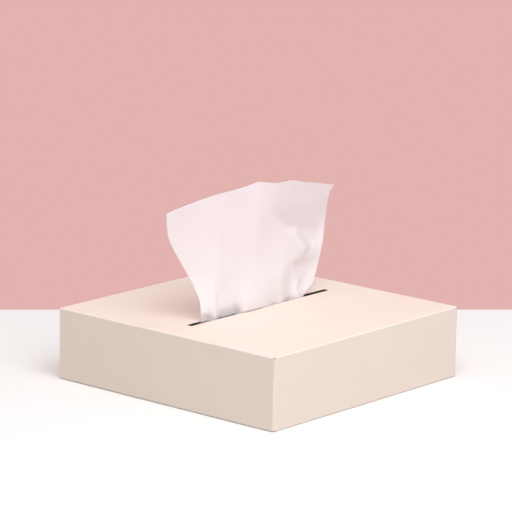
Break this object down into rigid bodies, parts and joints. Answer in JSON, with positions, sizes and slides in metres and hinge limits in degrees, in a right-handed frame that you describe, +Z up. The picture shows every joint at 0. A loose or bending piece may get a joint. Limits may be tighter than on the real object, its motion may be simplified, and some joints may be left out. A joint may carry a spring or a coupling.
{
  "type": "tissue box",
  "caption": "Low square tissue box of plain cream paperboard, with a narrow slot in its top and a white tissue drawn half out of it.",
  "frame": {"origin": "centre of the carton's underside, on the surface it stands on", "axes": "+Z up, +Y along the slot, +X across the slot towards the side that faces the viewer"},
  "size_m": [0.212, 0.212, 0.1512],
  "materials": {
    "paperboard": "plain, unprinted, uncoated matt folding boxboard, cream",
    "tissue_paper": "soft matt two-ply tissue paper, white, slightly see-through"
  },
  "bodies": {
    "root": {"carton": "paperboard", "tissue_stack": "tissue_paper", "pulled_tissue": "tissue_paper"}
  },
  "joints": []
}
